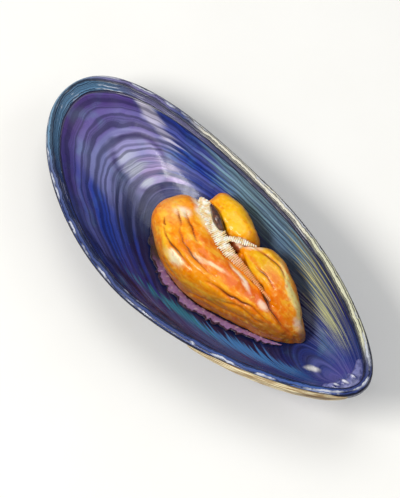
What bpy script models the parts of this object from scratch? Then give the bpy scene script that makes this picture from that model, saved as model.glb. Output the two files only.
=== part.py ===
"""A steamed blue mussel served on the half shell. Metres, +Z up.

One valve lies on its back with the meat in its bowl. +X points to the beak, which is the
narrow front end of the shell, -Y is the hinge side and +Y the gape side. The origin is the
middle of the footprint, on the surface that the shell rests on.

The shell and the meat are drawn in the shell's own frame, with the inner rim at z = 0 and
the bowl below it. An empty then tips that frame to the way the shell lies.
"""

import math

import bmesh
import bpy
from mathutils import Vector

# Driving dimensions of the shell, over its outside
SHELL_LENGTH = 0.0669
SHELL_WIDTH = 0.0281
SHELL_DEPTH = 0.0126
WALL = 0.0013
LIP_ROUNDING = 0.0003
LIP_ANGLE = math.radians(55)

# Form of the inner rim's outline, and of the bowl below it
BEAK_TAPER = 0.36
BEAK_SHARPNESS = 3.5
TAIL_BEND = 0.0048
TAIL_BEND_SHARPNESS = 1.6
BEAK_STEEPNESS = 0.52
TAIL_STEEPNESS = 0.80
KEEL_AT_BEAK = 0.30
KEEL_AT_TAIL = 0.02
KEEL_SETTLES = 0.6
HINGE_FLANK = (2.1, 0.68)
GAPE_FLANK = (2.5, 0.58)
GROWTH_CENTRE = 0.055

# Growth steps, which stand out on the outside alone and are highest towards the tail
RIM_POINTS = 52
GROWTH_RINGS = 24
RINGS_PER_STEP = 3
STEP_HEIGHT = 0.0003

# How it lies: tail down, on a flat spot worn into the deepest part of the outside
TAIL_DROOP = math.radians(4.5)
HINGE_DROOP = math.radians(2.0)
FLAT_SPOT_CUT = 0.0006
FLOOR_CUTTER_SIZE = (0.2, 0.2, 0.02)

# The meat's lobes from tail to beak. A station is x, y, half the lobe's width, and its crest's z
HINGE_LOBE = (
    (-0.0062, 0.0020, 0.0043, -0.0016),
    (-0.0026, 0.0004, 0.0046, -0.0009),
    (0.0014, -0.0009, 0.0039, -0.0010),
    (0.0054, -0.0008, 0.0031, -0.0015),
    (0.0098, -0.0003, 0.0023, -0.0024),
    (0.0140, 0.0002, 0.0016, -0.0038),
    (0.0172, 0.0012, 0.0009, -0.0062),
)
GAPE_LOBE = (
    (-0.0032, 0.0076, 0.0022, -0.0020),
    (-0.0004, 0.0071, 0.0026, -0.0012),
    (0.0030, 0.0063, 0.0021, -0.0017),
)
FRONT_LOBE = (
    (0.0052, 0.0044, 0.0017, -0.0023),
    (0.0082, 0.0050, 0.0029, -0.0017),
    (0.0116, 0.0042, 0.0026, -0.0020),
    (0.0150, 0.0030, 0.0019, -0.0034),
    (0.0180, 0.0020, 0.0009, -0.0062),
)
GILLS = (
    (-0.0048, 0.0062, 0.0010, -0.0026),
    (-0.0016, 0.0042, 0.0011, -0.0022),
    (0.0026, 0.0026, 0.0011, -0.0022),
    (0.0072, 0.0019, 0.0012, -0.0028),
    (0.0116, 0.0018, 0.0014, -0.0034),
    (0.0152, 0.0015, 0.0010, -0.0050),
)
# The mantle's loose edge, which lies in the bowl at the foot of the hinge lobe: x, y and half its width
MANTLE_EDGE = (
    (-0.0100, 0.0006, 0.0008),
    (-0.0070, -0.0022, 0.0010),
    (-0.0026, -0.0044, 0.0010),
    (0.0022, -0.0050, 0.0010),
    (0.0066, -0.0041, 0.0010),
    (0.0110, -0.0028, 0.0009),
    (0.0152, -0.0013, 0.0008),
)
MANTLE_EDGE_RISE = 0.0024
STEPS_BETWEEN_STATIONS = 5
CAP_STEPS = 5
CAP_FIRST_STEP = 0.4
POINTS_ROUND_LOBE = 24
LOBE_FULLNESS = 0.7
LOBE_ROOT = 0.0012
MEAT_CLEARANCE = 0.0003
MEAT_VOXEL = 0.00078
MEAT_FLATNESS = 0.00005
SOFTENING_PASSES = 3
SOFTENING = 0.5

# The ligament, a springy strip pressed against the outside of the hinge edge
LIGAMENT_TURNS = (1.935, 1.60)
LIGAMENT_POINTS = 22
LIGAMENT_POINTS_ROUND = 12
LIGAMENT_HALF_THICKNESS = 0.0009
LIGAMENT_HALF_HEIGHT = 0.0011
LIGAMENT_DROP = 0.0008
LIGAMENT_GAP = 0.0003

LINEAR_COLOURS = {
    "shell": (0.020, 0.030, 0.095),
    "meat": (0.80, 0.27, 0.012),
    "ligament": (0.50, 0.36, 0.16),
}
ROUGHNESS = {"shell": 0.28, "meat": 0.30, "ligament": 0.55}

INNER_LENGTH = SHELL_LENGTH - 2 * WALL
INNER_WIDTH = SHELL_WIDTH - 2 * WALL
INNER_DEPTH = SHELL_DEPTH - WALL


def clear_scene():
    for old in list(bpy.data.objects):
        bpy.data.objects.remove(old)


def new_collection(name):
    made = bpy.data.collections.new(name)
    bpy.context.scene.collection.children.link(made)
    return made


def plain_material(name):
    made = bpy.data.materials.new(name)
    made.use_nodes = True
    shader = made.node_tree.nodes["Principled BSDF"]
    shader.inputs["Base Color"].default_value = (*LINEAR_COLOURS[name], 1.0)
    shader.inputs["Roughness"].default_value = ROUGHNESS[name]
    shader.inputs["Metallic"].default_value = 0.0
    return made


def new_object(name, data, collection, parent=None):
    made = bpy.data.objects.new(name, data)
    collection.objects.link(made)
    made.parent = parent
    return made


def make_cutter(obj):
    obj.hide_render = True
    obj.display_type = "WIRE"


def mesh_from(shape, name):
    bmesh.ops.recalc_face_normals(shape, faces=shape.faces)
    mesh = bpy.data.meshes.new(name)
    shape.to_mesh(mesh)
    shape.free()
    mesh.shade_smooth()
    return mesh


def smooth_path(stations, steps):
    """A Catmull-Rom curve through the stations, whose numbers all run smoothly together."""
    ends = [tuple(2 * a - b for a, b in zip(stations[0], stations[1]))]
    ends += list(stations)
    ends.append(tuple(2 * a - b for a, b in zip(stations[-1], stations[-2])))
    path = []
    for before, start, end, after in zip(ends, ends[1:], ends[2:], ends[3:]):
        for step in range(steps):
            t = step / steps
            row = []
            for p, q, r, s in zip(before, start, end, after):
                bend = 2 * p - 5 * q + 4 * r - s
                twist = 3 * q - p - 3 * r + s
                row.append(q + 0.5 * t * (r - p + t * (bend + t * twist)))
            path.append(tuple(row))
    path.append(tuple(stations[-1]))
    return path


def mid_line(x):
    """The rim's middle, straight from the beak to halfway and then bent to the gape side."""
    past_middle = max(0.0, -2 * x / INNER_LENGTH)
    return TAIL_BEND * past_middle ** TAIL_BEND_SHARPNESS


def half_width(x):
    """Half the inner rim's width across the shell at x."""
    along = max(-1.0, min(1.0, 2 * x / INNER_LENGTH))
    taper = 1 - BEAK_TAPER * ((1 + along) / 2) ** BEAK_SHARPNESS
    return INNER_WIDTH / 2 * math.sqrt(1 - along * along) * taper


def rim_point(turn):
    """A point of the inner rim. Turn is 0 at the beak and half pi on the gape side."""
    x = INNER_LENGTH / 2 * math.cos(turn)
    side = 1 if math.sin(turn) >= 0 else -1
    return Vector((x, mid_line(x) + side * half_width(x), 0))


def bowl_depth(x, y):
    """How far the nacre lies below the rim at x, y."""
    half = half_width(x)
    if half == 0:
        return 0.0
    from_beak = 0.5 - x / INNER_LENGTH
    peak = BEAK_STEEPNESS / (BEAK_STEEPNESS + TAIL_STEEPNESS)
    length_curve = (from_beak / peak) ** BEAK_STEEPNESS
    length_curve *= ((1 - from_beak) / (1 - peak)) ** TAIL_STEEPNESS
    across = max(-1.0, min(1.0, (y - mid_line(x)) / half))
    settled = min(1.0, from_beak / KEEL_SETTLES)
    keel = KEEL_AT_BEAK + (KEEL_AT_TAIL - KEEL_AT_BEAK) * settled
    power, steepness = GAPE_FLANK if across > keel else HINGE_FLANK
    reach = 1 - keel if across > keel else 1 + keel
    cross_curve = max(0.0, 1 - (abs(across - keel) / reach) ** power) ** steepness
    return INNER_DEPTH * length_curve * cross_curve


def nacre_surface(name, rim_points, ring_count):
    """The bowl's open inner surface, in rings that grow from the beak to the rim."""
    centre = Vector((INNER_LENGTH * (0.5 - GROWTH_CENTRE), 0, 0))
    centre.y = mid_line(centre.x)
    shape = bmesh.new()
    pole = shape.verts.new((centre.x, centre.y, -bowl_depth(centre.x, centre.y)))
    rings = []
    for ring in range(1, ring_count + 1):
        verts = []
        for step in range(rim_points):
            edge = rim_point(2 * math.pi * (step + 0.5) / rim_points)
            place = centre.lerp(edge, ring / ring_count)
            place.z = 0 if ring == ring_count else -bowl_depth(place.x, place.y)
            verts.append(shape.verts.new(place))
        rings.append(verts)
    for step in range(rim_points):
        after = (step + 1) % rim_points
        shape.faces.new((pole, rings[0][step], rings[0][after]))
        for inner, outer in zip(rings, rings[1:]):
            shape.faces.new((inner[step], outer[step], outer[after], inner[after]))
    mesh = mesh_from(shape, name)
    if sum(face.normal.z for face in mesh.polygons) < 0:
        mesh.flip_normals()
    return mesh


def grade_growth_steps(shell):
    """Weights the wall: a growth step is thickest at its old edge, and thin where the next starts."""
    steps = shell.vertex_groups.new(name="growth steps")
    pole = shell.data.vertices[0].co
    steps.add([0], 1.0, "REPLACE")
    for ring in range(GROWTH_RINGS):
        thinned = 1 - (ring % RINGS_PER_STEP) / (RINGS_PER_STEP - 1)
        for step in range(RIM_POINTS):
            vert = shell.data.vertices[1 + ring * RIM_POINTS + step]
            reach = min(1.0, (vert.co.xy - pole.xy).length / (0.5 * INNER_LENGTH))
            steps.add([vert.index], 1 - thinned * reach, "REPLACE")


def make_shell(parts, floor, lying):
    surface = nacre_surface("shell", RIM_POINTS, GROWTH_RINGS)
    shell = new_object("shell", surface, parts, lying)
    shell.data.materials.append(plain_material("shell"))
    grade_growth_steps(shell)

    wall = shell.modifiers.new("wall", "SOLIDIFY")
    wall.thickness = WALL
    wall.offset = -1
    wall.vertex_group = "growth steps"
    wall.thickness_vertex_group = 1 - STEP_HEIGHT / WALL

    lip = shell.modifiers.new("lip", "BEVEL")
    lip.width = LIP_ROUNDING
    lip.segments = 1
    lip.limit_method = "ANGLE"
    lip.angle_limit = LIP_ANGLE

    flat = shell.modifiers.new("flat spot", "BOOLEAN")
    flat.operation = "DIFFERENCE"
    flat.object = floor
    return shell


def make_floor_cutter(cutters):
    """Everything below the surface that the shell rests on."""
    shape = bmesh.new()
    bmesh.ops.create_cube(shape, size=1)
    bmesh.ops.scale(shape, verts=shape.verts, vec=FLOOR_CUTTER_SIZE)
    bmesh.ops.translate(shape, verts=shape.verts, vec=(0, 0, -FLOOR_CUTTER_SIZE[2] / 2))
    floor = new_object("floor cutter", mesh_from(shape, "floor cutter"), cutters)
    make_cutter(floor)
    return floor


def make_clearance_cutter(name, cutters, lying, inward, outward):
    """The space that a neighbour of the shell keeps out of: inward and outward from the nacre."""
    space = new_object(name, nacre_surface(name, RIM_POINTS, GROWTH_RINGS), cutters, lying)
    raised = space.modifiers.new("inward", "DISPLACE")
    raised.strength = inward
    raised.mid_level = 0
    solid = space.modifiers.new("outward", "SOLIDIFY")
    solid.thickness = inward + outward
    solid.offset = -1
    make_cutter(space)
    return space


def lobe_rings(stations):
    """Centre, half width, crest and share of full size for each ring of a lobe with round ends."""
    path = smooth_path(stations, STEPS_BETWEEN_STATIONS)
    first, last = Vector(path[0][:2]), Vector(path[-1][:2])
    outward_first = (first - Vector(path[1][:2])).normalized()
    outward_last = (last - Vector(path[-2][:2])).normalized()
    cap_angles = [(step + CAP_FIRST_STEP) / CAP_STEPS * math.pi / 2 for step in range(CAP_STEPS)]
    rings = []
    for angle in cap_angles:
        centre = first + outward_first * path[0][2] * math.cos(angle)
        rings.append((centre, *path[0][2:], math.sin(angle)))
    rings += [(Vector(row[:2]), *row[2:], 1.0) for row in path]
    for angle in reversed(cap_angles):
        centre = last + outward_last * path[-1][2] * math.cos(angle)
        rings.append((centre, *path[-1][2:], math.sin(angle)))
    return rings


def plump(part):
    """Fills out a cosine or a sine, so that a round section gets full shoulders."""
    return math.copysign(abs(part) ** LOBE_FULLNESS, part)


def add_lobe(shape, stations):
    """A plump lobe lofted along its stations. Its root reaches a little below the nacre."""
    rings = lobe_rings(stations)
    loops = []
    for number, (centre, half, crest, share) in enumerate(rings):
        before = rings[max(0, number - 1)][0]
        after = rings[min(len(rings) - 1, number + 1)][0]
        ahead = (after - before).normalized()
        aside = Vector((-ahead.y, ahead.x))
        root = -bowl_depth(centre.x, centre.y) - LOBE_ROOT
        middle = (crest + root) / 2
        loop = []
        for point in range(POINTS_ROUND_LOBE):
            angle = 2 * math.pi * point / POINTS_ROUND_LOBE
            place = centre + aside * half * share * plump(math.cos(angle))
            height = (crest - root) / 2 * share * plump(math.sin(angle))
            loop.append(shape.verts.new((place.x, place.y, middle + height)))
        loops.append(loop)
    for near, far in zip(loops, loops[1:]):
        for point in range(POINTS_ROUND_LOBE):
            after = (point + 1) % POINTS_ROUND_LOBE
            shape.faces.new((near[point], near[after], far[after], far[point]))
    shape.faces.new(loops[0])
    shape.faces.new(loops[-1])


def mantle_edge_stations():
    """The mantle's edge follows the bowl at a fixed rise above it."""
    rows = []
    for x, y, half in MANTLE_EDGE:
        rows.append((x, y, half, MANTLE_EDGE_RISE - bowl_depth(x, y)))
    return rows


def cut_clear(obj, space):
    cut = obj.modifiers.new("clear of the shell", "BOOLEAN")
    cut.operation = "DIFFERENCE"
    cut.object = space


def make_meat(parts, cutters, lying):
    shape = bmesh.new()
    for stations in (HINGE_LOBE, GAPE_LOBE, FRONT_LOBE, GILLS, mantle_edge_stations()):
        add_lobe(shape, stations)
    meat = new_object("meat", mesh_from(shape, "meat"), parts, lying)
    meat.data.materials.append(plain_material("meat"))

    fused = meat.modifiers.new("one body", "REMESH")
    fused.mode = "VOXEL"
    fused.voxel_size = MEAT_VOXEL
    fused.adaptivity = MEAT_FLATNESS
    soft = meat.modifiers.new("softened", "SMOOTH")
    soft.iterations = SOFTENING_PASSES
    soft.factor = SOFTENING
    well_below = 5 * WALL
    cut_clear(meat, make_clearance_cutter("bowl cutter", cutters, lying, MEAT_CLEARANCE, well_below))
    return meat


def outward_at(turn):
    """The level direction that points away from the shell at a point of the rim."""
    nearby = math.radians(0.5)
    ahead = rim_point(turn + nearby) - rim_point(turn - nearby)
    return Vector((ahead.y, -ahead.x, 0)).normalized()


def make_ligament(parts, cutters, lying):
    """A strip along the hinge edge, thin at both ends, whose inner face follows the shell."""
    shape = bmesh.new()
    bmesh.ops.create_uvsphere(
        shape, u_segments=LIGAMENT_POINTS_ROUND, v_segments=LIGAMENT_POINTS, radius=1
    )
    start, end = (turn * math.pi for turn in LIGAMENT_TURNS)
    for vert in shape.verts:
        along = (1 - vert.co.z) / 2
        turn = start + (end - start) * along
        outward = outward_at(turn)
        middle = rim_point(turn) + outward * (WALL + LIGAMENT_GAP)
        place = middle + outward * vert.co.x * LIGAMENT_HALF_THICKNESS
        place.z = vert.co.y * LIGAMENT_HALF_HEIGHT - LIGAMENT_DROP
        vert.co = place
    ligament = new_object("ligament", mesh_from(shape, "ligament"), parts, lying)
    ligament.data.materials.append(plain_material("ligament"))
    outer_reach = WALL + LIGAMENT_GAP
    cut_clear(ligament, make_clearance_cutter("hinge cutter", cutters, lying, WALL, outer_reach))
    return ligament


def world_corners(objects):
    """The lowest and highest corner of the finished objects."""
    graph = bpy.context.evaluated_depsgraph_get()
    points = []
    for obj in objects:
        seen = obj.evaluated_get(graph)
        points += [seen.matrix_world @ vert.co for vert in seen.data.vertices]
    low = Vector(min(point[axis] for point in points) for axis in range(3))
    high = Vector(max(point[axis] for point in points) for axis in range(3))
    return low, high


def main():
    clear_scene()
    parts = new_collection("mussel on the half shell")
    cutters = new_collection("cutters")
    floor = make_floor_cutter(cutters)
    lying = new_object("lying", None, parts)
    lying.rotation_euler = (HINGE_DROOP, -TAIL_DROOP, 0)
    lying.location.z = SHELL_LENGTH
    shell = make_shell(parts, floor, lying)
    meat = make_meat(parts, cutters, lying)
    ligament = make_ligament(parts, cutters, lying)

    bpy.context.view_layer.update()
    low, high = world_corners([shell, meat, ligament])
    middle = (low + high) / 2
    lying.location -= Vector((middle.x, middle.y, low.z + FLAT_SPOT_CUT))


main()
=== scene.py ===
"""A steamed blue mussel on the half shell, dressed and lit. Metres, +Z up."""

import math

import bmesh
import bpy
import numpy as np
from mathutils import Euler, Matrix, Vector, noise


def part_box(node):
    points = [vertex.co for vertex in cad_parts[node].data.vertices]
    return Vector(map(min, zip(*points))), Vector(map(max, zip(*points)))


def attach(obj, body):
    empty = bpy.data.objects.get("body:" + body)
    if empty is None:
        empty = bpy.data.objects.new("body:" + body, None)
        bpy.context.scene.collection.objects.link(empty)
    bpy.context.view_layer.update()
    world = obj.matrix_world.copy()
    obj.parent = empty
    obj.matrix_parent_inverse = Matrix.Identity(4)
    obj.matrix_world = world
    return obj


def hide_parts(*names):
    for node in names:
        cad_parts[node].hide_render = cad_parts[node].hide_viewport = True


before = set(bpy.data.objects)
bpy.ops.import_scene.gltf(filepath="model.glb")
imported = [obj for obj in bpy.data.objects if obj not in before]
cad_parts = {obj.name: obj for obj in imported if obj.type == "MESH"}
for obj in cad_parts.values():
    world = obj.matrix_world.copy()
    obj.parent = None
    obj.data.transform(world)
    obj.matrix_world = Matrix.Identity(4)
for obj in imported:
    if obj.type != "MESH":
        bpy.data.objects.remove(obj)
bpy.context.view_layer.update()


# Shell wall
# One valve of a blue mussel: a boat of limy shell under a blue-black skin. It grew in rings from
# the beak, so rings drawn from one outline make its two sides, and a rounded lip joins them.
# It is drawn with its inner rim at z = 0, beak at +X and hinge edge at -Y, and then laid down.
SHELL_LENGTH = 0.0669
SHELL_WIDTH = 0.0281
SHELL_DEPTH = 0.0126
WALL = 0.0013
LIP_RADIUS = 0.0004
BEAK_TAPER = 0.36
BEAK_SHARPNESS = 3.5
TAIL_BEND = 0.0048
TAIL_BEND_SHARPNESS = 1.6
BEAK_STEEPNESS = 0.52
TAIL_STEEPNESS = 0.80
KEEL_AT_BEAK = 0.30
KEEL_AT_TAIL = 0.02
KEEL_SETTLES = 0.6
# The bowl's curve up each flank: its power and its steepness
HINGE_FLANK = (2.1, 0.68)
GAPE_FLANK = (2.5, 0.58)
GROWTH_CENTRE = 0.055
TAIL_DROOP = math.radians(4.5)
HINGE_DROOP = math.radians(2.0)
INNER_LENGTH = SHELL_LENGTH - 2 * WALL
INNER_WIDTH = SHELL_WIDTH - 2 * WALL
INNER_DEPTH = SHELL_DEPTH - WALL
MM = 0.001


def mid_line(x):
    """The rim's middle, straight from the beak to halfway and then bent to the gape side."""
    past_middle = np.maximum(0.0, -2 * x / INNER_LENGTH)
    return TAIL_BEND * past_middle ** TAIL_BEND_SHARPNESS


def half_width(x):
    """Half the inner rim's width across the shell at x."""
    along = np.clip(2 * x / INNER_LENGTH, -1, 1)
    taper = 1 - BEAK_TAPER * ((1 + along) / 2) ** BEAK_SHARPNESS
    return INNER_WIDTH / 2 * np.sqrt(1 - along ** 2) * taper


def bowl_depth(x, y):
    """How far the nacre lies below the rim at x, y."""
    narrowest = 1e-6
    half = np.maximum(half_width(x), narrowest)
    from_beak = np.clip(0.5 - x / INNER_LENGTH, 0, 1)
    peak = BEAK_STEEPNESS / (BEAK_STEEPNESS + TAIL_STEEPNESS)
    length_curve = (from_beak / peak) ** BEAK_STEEPNESS
    length_curve = length_curve * ((1 - from_beak) / (1 - peak)) ** TAIL_STEEPNESS
    across = np.clip((y - mid_line(x)) / half, -1, 1)
    settled = np.minimum(1.0, from_beak / KEEL_SETTLES)
    keel = KEEL_AT_BEAK + (KEEL_AT_TAIL - KEEL_AT_BEAK) * settled
    gape_side = across > keel
    power = np.where(gape_side, GAPE_FLANK[0], HINGE_FLANK[0])
    steepness = np.where(gape_side, GAPE_FLANK[1], HINGE_FLANK[1])
    reach = np.where(gape_side, 1 - keel, 1 + keel)
    cross_curve = np.maximum(0.0, 1 - (np.abs(across - keel) / reach) ** power) ** steepness
    return INNER_DEPTH * length_curve * cross_curve


def ring_points(growth, turn):
    """Nacre points. Growth is 0 at the growth centre and 1 at the rim; turn is 0 at the beak."""
    edge_x = INNER_LENGTH / 2 * np.cos(turn)
    side = np.where(np.sin(turn) >= 0, 1, -1)
    edge_y = mid_line(edge_x) + side * half_width(edge_x)
    start_x = INNER_LENGTH * (0.5 - GROWTH_CENTRE)
    x = start_x + (edge_x - start_x) * growth
    y = edge_y * growth
    return np.stack([x, y, -bowl_depth(x, y)], axis=-1)


def turns_round(columns):
    return 2 * np.pi * (np.arange(columns) + 0.5) / columns


def bowl_grid(rows, columns, inset):
    """Rings of nacre points at even steps along the surface, the last one inset from the rim.

    Also gives each point's growth, its turn and how far it is from the rim.
    """
    samples = 600
    turn = turns_round(columns)
    fine = 1 - (1 - np.linspace(0, 1, samples)) ** 2
    path = ring_points(fine[:, None], turn[None, :])
    steps = np.linalg.norm(np.diff(path, axis=0), axis=2)
    reached = np.vstack([np.zeros(columns), np.cumsum(steps, axis=0)])
    farthest = reached[-1] - inset
    growth = np.empty((rows, columns))
    from_rim = np.empty((rows, columns))
    for column in range(columns):
        wanted = farthest[column] * np.arange(1, rows + 1) / rows
        growth[:, column] = np.interp(wanted, reached[:, column], fine)
        from_rim[:, column] = reached[-1, column] - wanted
    turns = np.broadcast_to(turn, growth.shape)
    return ring_points(growth, turns), growth, turns, from_rim


def inward_normals(points):
    """Directions out of the nacre and into the bowl."""
    along = np.gradient(points, axis=0)
    around = np.roll(points, -1, axis=1) - np.roll(points, 1, axis=1)
    normal = np.cross(around, along)
    normal /= np.linalg.norm(normal, axis=2, keepdims=True)
    return normal if normal[..., 2].mean() > 0 else -normal


def put_attribute(mesh, name, values):
    """Stores one number, or one triple, for each point of a mesh."""
    values = np.asarray(values, dtype=np.float32)
    if values.ndim == 1:
        mesh.attributes.new(name, "FLOAT", "POINT").data.foreach_set("value", values)
    else:
        mesh.attributes.new(name, "FLOAT_VECTOR", "POINT").data.foreach_set("vector", values.ravel())


def read_points(mesh):
    points = np.empty(3 * len(mesh.vertices), dtype=np.float32)
    mesh.vertices.foreach_get("co", points)
    return points.reshape(-1, 3).astype(float)


def write_points(mesh, points):
    mesh.vertices.foreach_set("co", np.asarray(points, dtype=np.float32).ravel())
    mesh.update()


def with_ends(values, first=0, last=0):
    """One value for each ring point, between those of the two end points."""
    return np.concatenate([[first], values.ravel(), [last]])


def ring_mesh(name, rings, first, last, attributes):
    """A closed skin over rings of points that draw together to one point at both ends."""
    count, columns = rings.shape[:2]
    points = np.vstack([first, rings.reshape(-1, 3), last])
    here = 1 + np.arange(columns)
    after = 1 + (np.arange(columns) + 1) % columns
    faces = np.stack([np.zeros(columns, int), here, after], axis=1).tolist()
    for ring in range(count - 1):
        low, high = ring * columns, (ring + 1) * columns
        faces += np.stack([here + low, here + high, after + high, after + low], axis=1).tolist()
    low, end = (count - 1) * columns, len(points) - 1
    faces += np.stack([np.full(columns, end), after + low, here + low], axis=1).tolist()
    mesh = bpy.data.meshes.new(name)
    mesh.from_pydata(points.tolist(), [], faces)
    shape = bmesh.new()
    shape.from_mesh(mesh)
    if shape.calc_volume(signed=True) < 0:
        mesh.flip_normals()
    shape.free()
    mesh.shade_smooth()
    for label, values in attributes.items():
        put_attribute(mesh, label, values)
    return mesh


def new_object(name, data, finish=None):
    """Puts an object in the scene, in its finish if it has one."""
    made = bpy.data.objects.new(name, data)
    bpy.context.scene.collection.objects.link(made)
    if finish:
        data.materials.append(finish)
    return made


def harden(piece):
    """Keeps what a piece's modifiers make as its own plain mesh."""
    graph = bpy.context.evaluated_depsgraph_get()
    seen = piece.evaluated_get(graph)
    plain = bpy.data.meshes.new_from_object(seen, preserve_all_data_layers=True, depsgraph=graph)
    piece.modifiers.clear()
    piece.data = plain
    return piece


def node(tree, kind, values=None, **settings):
    """Adds a node. Each value is a number, a colour or another node's output."""
    made = tree.nodes.new(kind)
    for name, value in settings.items():
        setattr(made, name, value)
    for name, value in (values or {}).items():
        if isinstance(value, bpy.types.NodeSocket):
            tree.links.new(value, made.inputs[name])
        else:
            made.inputs[name].default_value = value
    return made


def socket(tree, kind, values=None, **settings):
    """Adds a node and gives its first output."""
    return node(tree, kind, values, **settings).outputs[0]


def calc(tree, operation, *terms, clamp=False):
    return socket(tree, "ShaderNodeMath", dict(enumerate(terms)), operation=operation, use_clamp=clamp)


def vector_calc(tree, operation, *terms):
    return socket(tree, "ShaderNodeVectorMath", dict(enumerate(terms)), operation=operation)


def vector_of(tree, x, y, z):
    return socket(tree, "ShaderNodeCombineXYZ", {"X": x, "Y": y, "Z": z})


def axis(tree, vector, letter):
    return node(tree, "ShaderNodeSeparateXYZ", {0: vector}).outputs[letter]


def cloud(tree, place, scale, detail):
    """Cloudy noise through space, about 0.5."""
    return socket(tree, "ShaderNodeTexNoise", {"Vector": place, "Scale": scale, "Detail": detail})


def cloud_along(tree, value, detail):
    """Cloudy noise along one number, about 0.5."""
    values = {"W": value, "Scale": 1.0, "Detail": detail}
    return socket(tree, "ShaderNodeTexNoise", values, noise_dimensions="1D")


def swing(tree, value, amount):
    """Noise about 0.5 as a swing of the given amount about 0."""
    return calc(tree, "MULTIPLY", calc(tree, "SUBTRACT", value, 0.5), amount)


def new_tree(name, kind, inputs, outputs):
    """A node group, with its input and output sockets.

    An input is named with its starting number, or with its kind of socket where it has none.
    """
    tree = bpy.data.node_groups.new(name, kind)
    for label, value in inputs.items():
        plain = isinstance(value, str)
        words = value if plain else type(value).__name__.title()
        made = tree.interface.new_socket(label, in_out="INPUT", socket_type="NodeSocket" + words)
        if not plain:
            made.default_value = value
    for label, words in outputs.items():
        tree.interface.new_socket(label, in_out="OUTPUT", socket_type="NodeSocket" + words)
    return tree, tree.nodes.new("NodeGroupInput").outputs, tree.nodes.new("NodeGroupOutput").inputs


def new_shape_tree(name, inputs):
    """A Geometry Nodes tree, which takes a shape and a material and gives a shape."""
    ends = {"Geometry": "Geometry", **inputs, "Material": "Material"}
    return new_tree(name, "GeometryNodeTree", ends, {"Geometry": "Geometry"})


def finish_tree(tree, geometry, given, result):
    """Every shape tree ends in plain geometry that wears its material."""
    plain = socket(tree, "GeometryNodeRealizeInstances", {"Geometry": geometry})
    worn = socket(tree, "GeometryNodeSetMaterial", {"Geometry": plain, "Material": given["Material"]})
    tree.links.new(worn, result["Geometry"])
    return tree


def named(tree, name, data_type="FLOAT"):
    """A stored attribute, inside Geometry Nodes."""
    values = {"Name": name}
    return node(tree, "GeometryNodeInputNamedAttribute", values, data_type=data_type).outputs["Attribute"]


def growth_ridge_tree():
    """Steps and fine lines that follow the growth rings, cut into the outside alone."""
    tree, given, result = new_shape_tree("growth ridges", {
        "Steps": 8.0, "Step Height": 0.0003, "Fine Lines": 70.0, "Fine Height": 0.00008,
        "Wobble": 0.02, "Seed": 3.0})
    drift = cloud(tree, socket(tree, "GeometryNodeInputPosition"), 110.0, 2.0)
    growth = calc(tree, "ADD", named(tree, "growth"), swing(tree, drift, given["Wobble"]))
    phase = calc(tree, "FRACT", calc(tree, "MULTIPLY", growth, given["Steps"]))
    falling = calc(tree, "MULTIPLY_ADD", phase, -3.0, 1.0)
    rising = calc(tree, "MULTIPLY_ADD", phase, 1.5, -0.5)
    share = calc(tree, "MAXIMUM", falling, rising, clamp=True)
    steps = calc(tree, "MULTIPLY", calc(tree, "SUBTRACT", share, 1.0), given["Step Height"])
    line = cloud_along(tree, calc(tree, "MULTIPLY_ADD", growth, given["Fine Lines"], given["Seed"]), 2.0)
    height = calc(tree, "ADD", steps, swing(tree, line, given["Fine Height"]))
    height = calc(tree, "MULTIPLY", height, named(tree, "ridge"))
    offset = vector_calc(tree, "MULTIPLY", socket(tree, "GeometryNodeInputNormal"), height)
    moved = socket(tree, "GeometryNodeSetPosition", {"Geometry": given["Geometry"], "Offset": offset})
    return finish_tree(tree, moved, given, result)


def bake_nodes(name, mesh, tree, values):
    """Runs a Geometry Nodes tree on a mesh and keeps the result as a plain piece."""
    piece = new_object(name, mesh)
    modifier = piece.modifiers.new("nodes", "NODES")
    modifier.node_group = tree
    for item in tree.interface.items_tree:
        if item.item_type == "SOCKET" and item.in_out == "INPUT" and item.name in values:
            modifier[item.identifier] = values[item.name]
    return harden(piece)


def tint(red, green, blue):
    """A colour in linear light from its values on a screen, 0 to 255."""
    def linear(value):
        share = value / 255
        return share / 12.92 if share <= 0.04045 else ((share + 0.055) / 1.055) ** 2.4
    return (linear(red), linear(green), linear(blue), 1.0)


def blend(tree, factor, first, second):
    """The second colour over the first one."""
    return node(tree, "ShaderNodeMix", {0: factor, 6: first, 7: second}, data_type="RGBA").outputs[2]


def lay(tree, color, shade, mask, share=1.0):
    """Lays a shade over a colour where the mask says, at its share of full strength."""
    if share != 1.0:
        mask = calc(tree, "MULTIPLY", mask, share)
    return blend(tree, mask, color, tint(*shade))


def ramp(tree, value, low, high, start=0.0, end=1.0):
    """Takes a value from low to high smoothly to start to end."""
    values = {"Value": value, "From Min": low, "From Max": high, "To Min": start, "To Max": end}
    return socket(tree, "ShaderNodeMapRange", values, interpolation_type="SMOOTHSTEP")


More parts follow.
